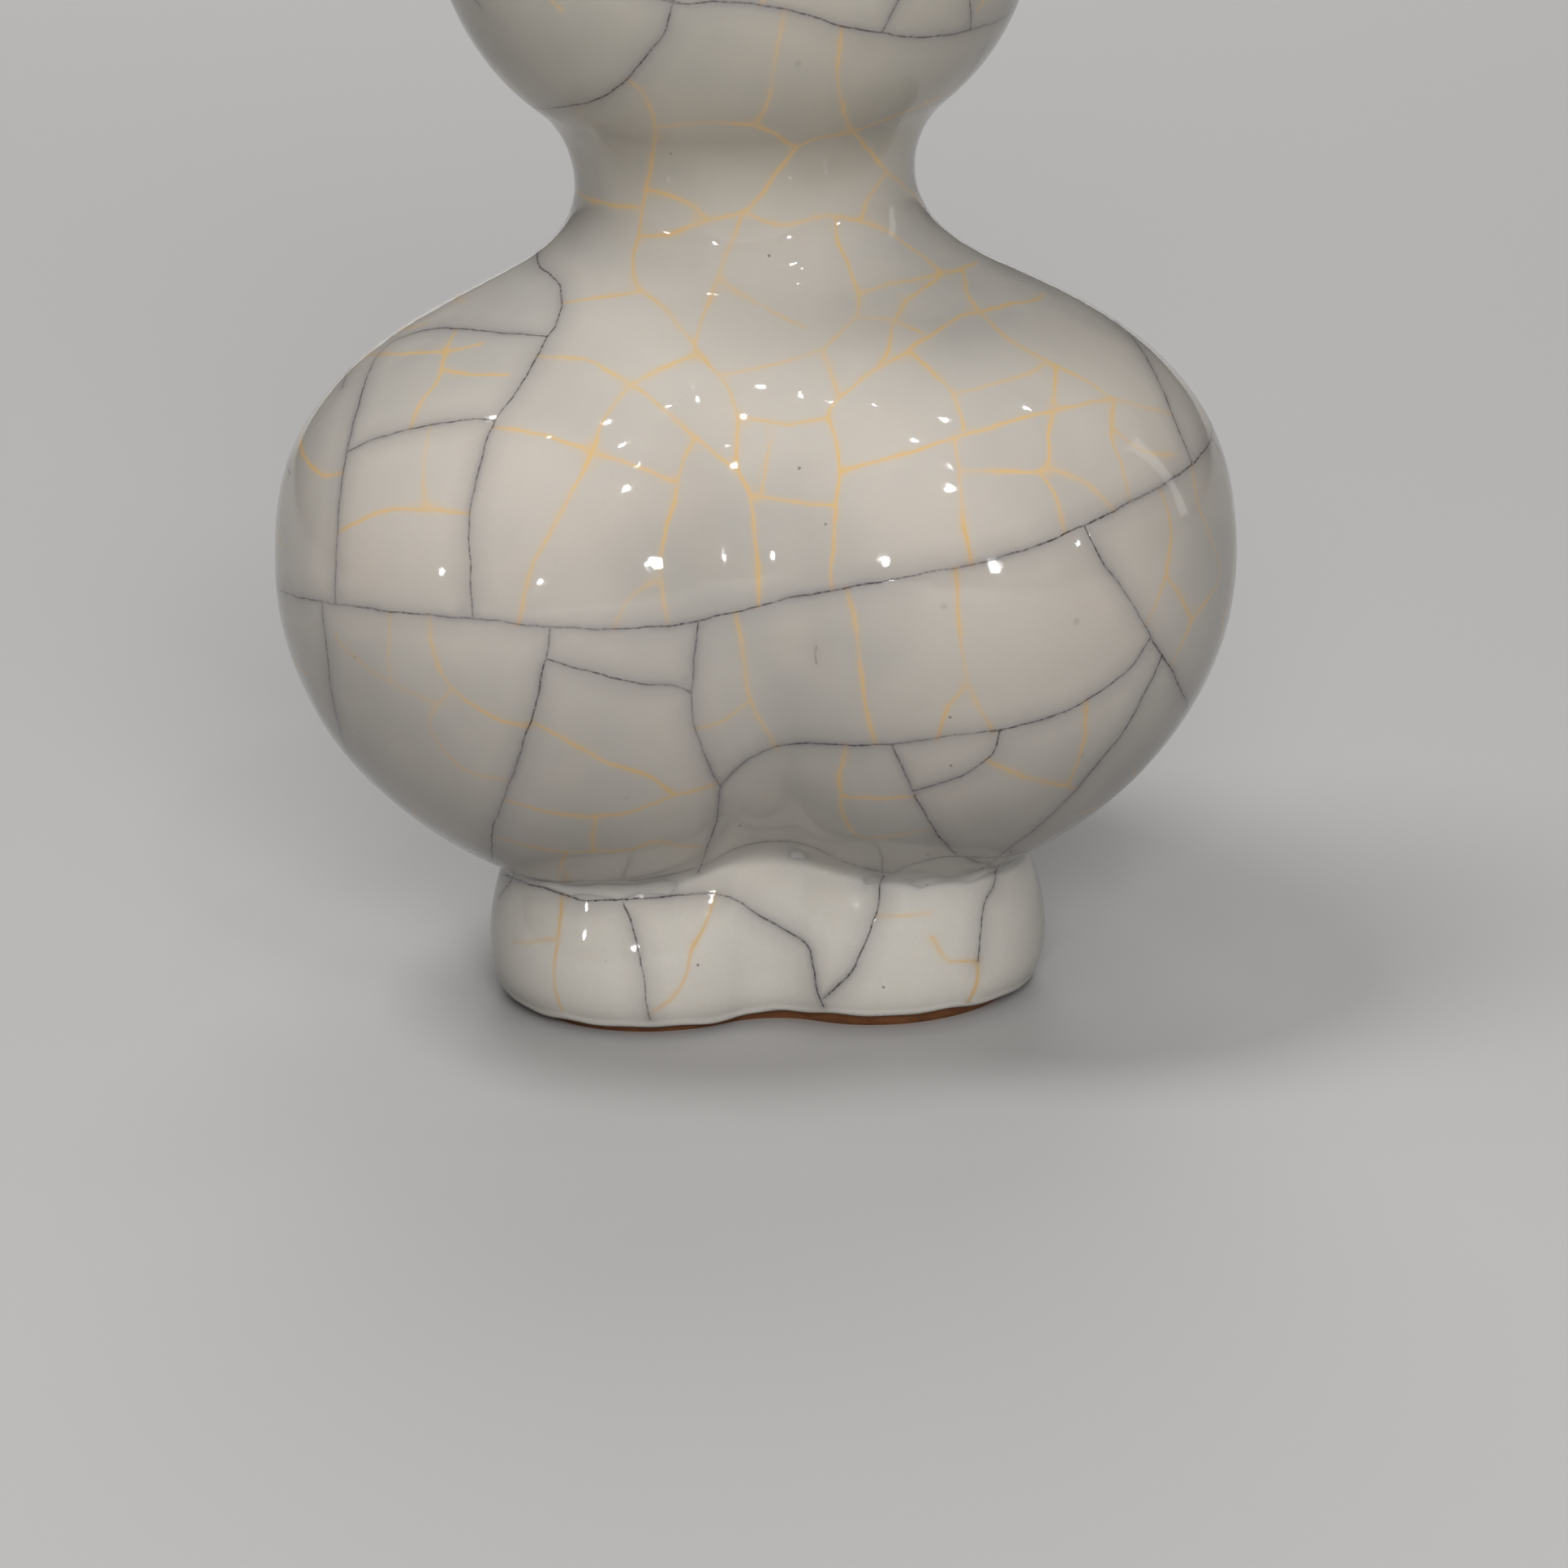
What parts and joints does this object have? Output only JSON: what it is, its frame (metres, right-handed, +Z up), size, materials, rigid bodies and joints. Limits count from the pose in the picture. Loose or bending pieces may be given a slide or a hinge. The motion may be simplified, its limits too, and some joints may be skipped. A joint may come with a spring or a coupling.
{
  "type": "double gourd vase",
  "caption": "Gourd-shaped stoneware vase with a lobed lower bulb on a trefoil foot, a narrow waist, a round upper bulb and a small rolled mouth, under a milky crackle glaze.",
  "frame": {"origin": "on the vase's axis, in the plane of the foot's rim that it stands on", "axes": "+Z up along the vase's axis, -Y towards the groove between the two front lobes, +X to the right"},
  "size_m": [0.139, 0.1323, 0.2012],
  "materials": {
    "clay": "fired stoneware, matt",
    "foot_clay": "stoneware, fired reddish brown where it is bare, matt and grainy",
    "slip": "fired slip, matt",
    "crackle_glaze": "thick milky glaze, glossy, with dark grey and yellow-orange crackle",
    "inside_glaze": "thinner milky glaze, glossy"
  },
  "bodies": {
    "root": {"foot_ring": "foot_clay", "base_floor": "clay", "lower_lobe_left": "clay", "lower_lobe_right": "clay", "lower_lobe_rear": "clay", "upper_lobe_left": "clay", "upper_lobe_right": "clay", "upper_lobe_rear": "clay", "waist_collar": "clay", "bulb_lower": "clay", "bulb_upper": "clay", "mouth_ring": "clay", "foot_seam_slip": "slip", "floor_seam_slip": "slip", "belly_seam_slip": "slip", "shoulder_seam_slip": "slip", "waist_seam_slip": "slip", "bulb_seam_slip": "slip", "mouth_seam_slip": "slip", "lower_groove_slip": "slip", "upper_groove_slip": "slip", "outer_glaze": "crackle_glaze", "inner_glaze": "inside_glaze", "base_glaze": "inside_glaze"}
  },
  "joints": []
}
